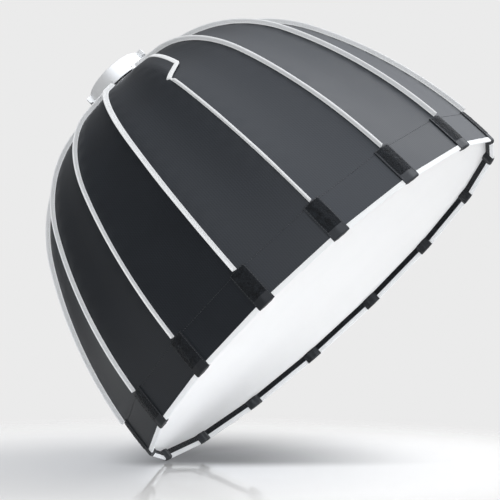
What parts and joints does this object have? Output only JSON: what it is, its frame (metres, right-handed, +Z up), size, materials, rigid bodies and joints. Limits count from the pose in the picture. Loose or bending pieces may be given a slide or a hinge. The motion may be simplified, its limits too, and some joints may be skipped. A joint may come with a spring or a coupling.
{
  "type": "folding parabolic umbrella reflector with front diffuser",
  "caption": "Deep umbrella-framed parabolic reflector for a studio flash: hinged ribs on a three-lug bayonet ring, black fabric gores, white bound seams and a white front diffuser.",
  "frame": {"origin": "centre of the bayonet ring's rear face, where it meets the lamp", "axes": "+Y along the dome's axis towards the lamp, so the opening faces -Y; +Z up through rib 00; +X by the right hand rule, towards rib 04"},
  "size_m": [0.7066, 0.4921, 0.7066],
  "materials": {
    "black_fabric": "woven, matt, silver coated inside",
    "white_binding": "woven tape",
    "loop_tape": "napped loop tape",
    "black_elastic": "ribbed elastic",
    "diffuser_cloth": "translucent white cloth",
    "spring_steel": "drawn spring steel",
    "cast_alloy": "die cast, satin",
    "polished_alloy": "turned, bright",
    "screw_steel": "zinc plated"
  },
  "bodies": {
    "hub": {"bayonet_ring": "polished_alloy", "hub_ring": "cast_alloy", "retaining_plate": "cast_alloy", "plate_screws": "screw_steel", "hinge_pins": "screw_steel", "neck_hem": "black_elastic", "rim_binding": "white_binding", "front_loop_tape": "loop_tape"},
    "arm_00": {"rib_00": "spring_steel", "rib_seam_00": "white_binding", "gore_00": "black_fabric"},
    "arm_01": {"rib_01": "spring_steel", "rib_seam_01": "white_binding", "gore_01": "black_fabric"},
    "arm_02": {"rib_02": "spring_steel", "rib_seam_02": "white_binding", "gore_02": "black_fabric"},
    "arm_03": {"rib_03": "spring_steel", "rib_seam_03": "white_binding", "gore_03": "black_fabric"},
    "arm_04": {"rib_04": "spring_steel", "rib_seam_04": "white_binding", "gore_04": "black_fabric"},
    "arm_05": {"rib_05": "spring_steel", "rib_seam_05": "white_binding", "gore_05": "black_fabric"},
    "arm_06": {"rib_06": "spring_steel", "rib_seam_06": "white_binding", "gore_06": "black_fabric"},
    "arm_07": {"rib_07": "spring_steel", "rib_seam_07": "white_binding", "gore_07": "black_fabric"},
    "arm_08": {"rib_08": "spring_steel", "rib_seam_08": "white_binding", "gore_08": "black_fabric"},
    "arm_09": {"rib_09": "spring_steel", "rib_seam_09": "white_binding", "gore_09": "black_fabric"},
    "arm_10": {"rib_10": "spring_steel", "rib_seam_10": "white_binding", "gore_10": "black_fabric"},
    "arm_11": {"rib_11": "spring_steel", "rib_seam_11": "white_binding", "gore_11": "black_fabric"},
    "arm_12": {"rib_12": "spring_steel", "rib_seam_12": "white_binding", "gore_12": "black_fabric"},
    "arm_13": {"rib_13": "spring_steel", "rib_seam_13": "white_binding", "gore_13": "black_fabric"},
    "arm_14": {"rib_14": "spring_steel", "rib_seam_14": "white_binding", "gore_14": "black_fabric"},
    "arm_15": {"rib_15": "spring_steel", "rib_seam_15": "white_binding", "gore_15": "black_fabric"},
    "diffuser": {"front_diffuser": "diffuser_cloth", "diffuser_hem": "loop_tape"},
    "flap": {"access_flap": "black_fabric", "flap_binding": "white_binding"}
  },
  "joints": [
    {"name": "rib_hinge_00", "type": "hinge", "parent": "hub", "child": "arm_00", "pos_m": [0, -0.0389, 0.063], "axis": [1, 0, 0], "range_deg": [0, 28.5], "deforming": ["gore_00", "gore_01", "gore_02", "gore_03", "gore_04", "gore_05", "gore_06", "gore_07", "gore_08", "gore_09", "gore_10", "gore_11", "gore_12", "gore_13", "gore_14", "gore_15", "rim_binding", "front_loop_tape", "front_diffuser", "diffuser_hem"]},
    {"name": "rib_hinge_01", "type": "hinge", "parent": "hub", "child": "arm_01", "pos_m": [0.02411, -0.0389, 0.0582], "axis": [0.9239, 0, -0.3827], "range_deg": [0, 28.5]},
    {"name": "rib_hinge_02", "type": "hinge", "parent": "hub", "child": "arm_02", "pos_m": [0.04455, -0.0389, 0.04455], "axis": [0.7071, 0, -0.7071], "range_deg": [0, 28.5]},
    {"name": "rib_hinge_03", "type": "hinge", "parent": "hub", "child": "arm_03", "pos_m": [0.0582, -0.0389, 0.02411], "axis": [0.3827, 0, -0.9239], "range_deg": [0, 28.5]},
    {"name": "rib_hinge_04", "type": "hinge", "parent": "hub", "child": "arm_04", "pos_m": [0.063, -0.0389, 0], "axis": [0, 0, -1], "range_deg": [0, 28.5]},
    {"name": "rib_hinge_05", "type": "hinge", "parent": "hub", "child": "arm_05", "pos_m": [0.0582, -0.0389, -0.02411], "axis": [-0.3827, 0, -0.9239], "range_deg": [0, 28.5]},
    {"name": "rib_hinge_06", "type": "hinge", "parent": "hub", "child": "arm_06", "pos_m": [0.04455, -0.0389, -0.04455], "axis": [-0.7071, 0, -0.7071], "range_deg": [0, 28.5]},
    {"name": "rib_hinge_07", "type": "hinge", "parent": "hub", "child": "arm_07", "pos_m": [0.02411, -0.0389, -0.0582], "axis": [-0.9239, 0, -0.3827], "range_deg": [0, 28.5]},
    {"name": "rib_hinge_08", "type": "hinge", "parent": "hub", "child": "arm_08", "pos_m": [0, -0.0389, -0.063], "axis": [-1, 0, 0], "range_deg": [0, 28.5]},
    {"name": "rib_hinge_09", "type": "hinge", "parent": "hub", "child": "arm_09", "pos_m": [-0.02411, -0.0389, -0.0582], "axis": [-0.9239, 0, 0.3827], "range_deg": [0, 28.5]},
    {"name": "rib_hinge_10", "type": "hinge", "parent": "hub", "child": "arm_10", "pos_m": [-0.04455, -0.0389, -0.04455], "axis": [-0.7071, 0, 0.7071], "range_deg": [0, 28.5]},
    {"name": "rib_hinge_11", "type": "hinge", "parent": "hub", "child": "arm_11", "pos_m": [-0.0582, -0.0389, -0.02411], "axis": [-0.3827, 0, 0.9239], "range_deg": [0, 28.5]},
    {"name": "rib_hinge_12", "type": "hinge", "parent": "hub", "child": "arm_12", "pos_m": [-0.063, -0.0389, 0], "axis": [0, 0, 1], "range_deg": [0, 28.5]},
    {"name": "rib_hinge_13", "type": "hinge", "parent": "hub", "child": "arm_13", "pos_m": [-0.0582, -0.0389, 0.02411], "axis": [0.3827, 0, 0.9239], "range_deg": [0, 28.5]},
    {"name": "rib_hinge_14", "type": "hinge", "parent": "hub", "child": "arm_14", "pos_m": [-0.04455, -0.0389, 0.04455], "axis": [0.7071, 0, 0.7071], "range_deg": [0, 28.5]},
    {"name": "rib_hinge_15", "type": "hinge", "parent": "hub", "child": "arm_15", "pos_m": [-0.02411, -0.0389, 0.0582], "axis": [0.9239, 0, 0.3827], "range_deg": [0, 28.5]},
    {"name": "diffuser_lift_off", "type": "slide", "parent": "hub", "child": "diffuser", "axis": [0, -1, 0], "range_m": [0, 0.12]},
    {"name": "flap_peel", "type": "hinge", "parent": "arm_13", "child": "flap", "pos_m": [-0.15121, -0.06803, 0.06263], "axis": [-0.7996, -0.5009, 0.3312], "range_deg": [0, 100], "deforming": ["access_flap", "flap_binding"]}
  ],
  "couplings": [
    {"joint": "rib_hinge_01", "follows": "rib_hinge_00", "ratio": 1},
    {"joint": "rib_hinge_02", "follows": "rib_hinge_00", "ratio": 1},
    {"joint": "rib_hinge_03", "follows": "rib_hinge_00", "ratio": 1},
    {"joint": "rib_hinge_04", "follows": "rib_hinge_00", "ratio": 1},
    {"joint": "rib_hinge_05", "follows": "rib_hinge_00", "ratio": 1},
    {"joint": "rib_hinge_06", "follows": "rib_hinge_00", "ratio": 1},
    {"joint": "rib_hinge_07", "follows": "rib_hinge_00", "ratio": 1},
    {"joint": "rib_hinge_08", "follows": "rib_hinge_00", "ratio": 1},
    {"joint": "rib_hinge_09", "follows": "rib_hinge_00", "ratio": 1},
    {"joint": "rib_hinge_10", "follows": "rib_hinge_00", "ratio": 1},
    {"joint": "rib_hinge_11", "follows": "rib_hinge_00", "ratio": 1},
    {"joint": "rib_hinge_12", "follows": "rib_hinge_00", "ratio": 1},
    {"joint": "rib_hinge_13", "follows": "rib_hinge_00", "ratio": 1},
    {"joint": "rib_hinge_14", "follows": "rib_hinge_00", "ratio": 1},
    {"joint": "rib_hinge_15", "follows": "rib_hinge_00", "ratio": 1}
  ]
}
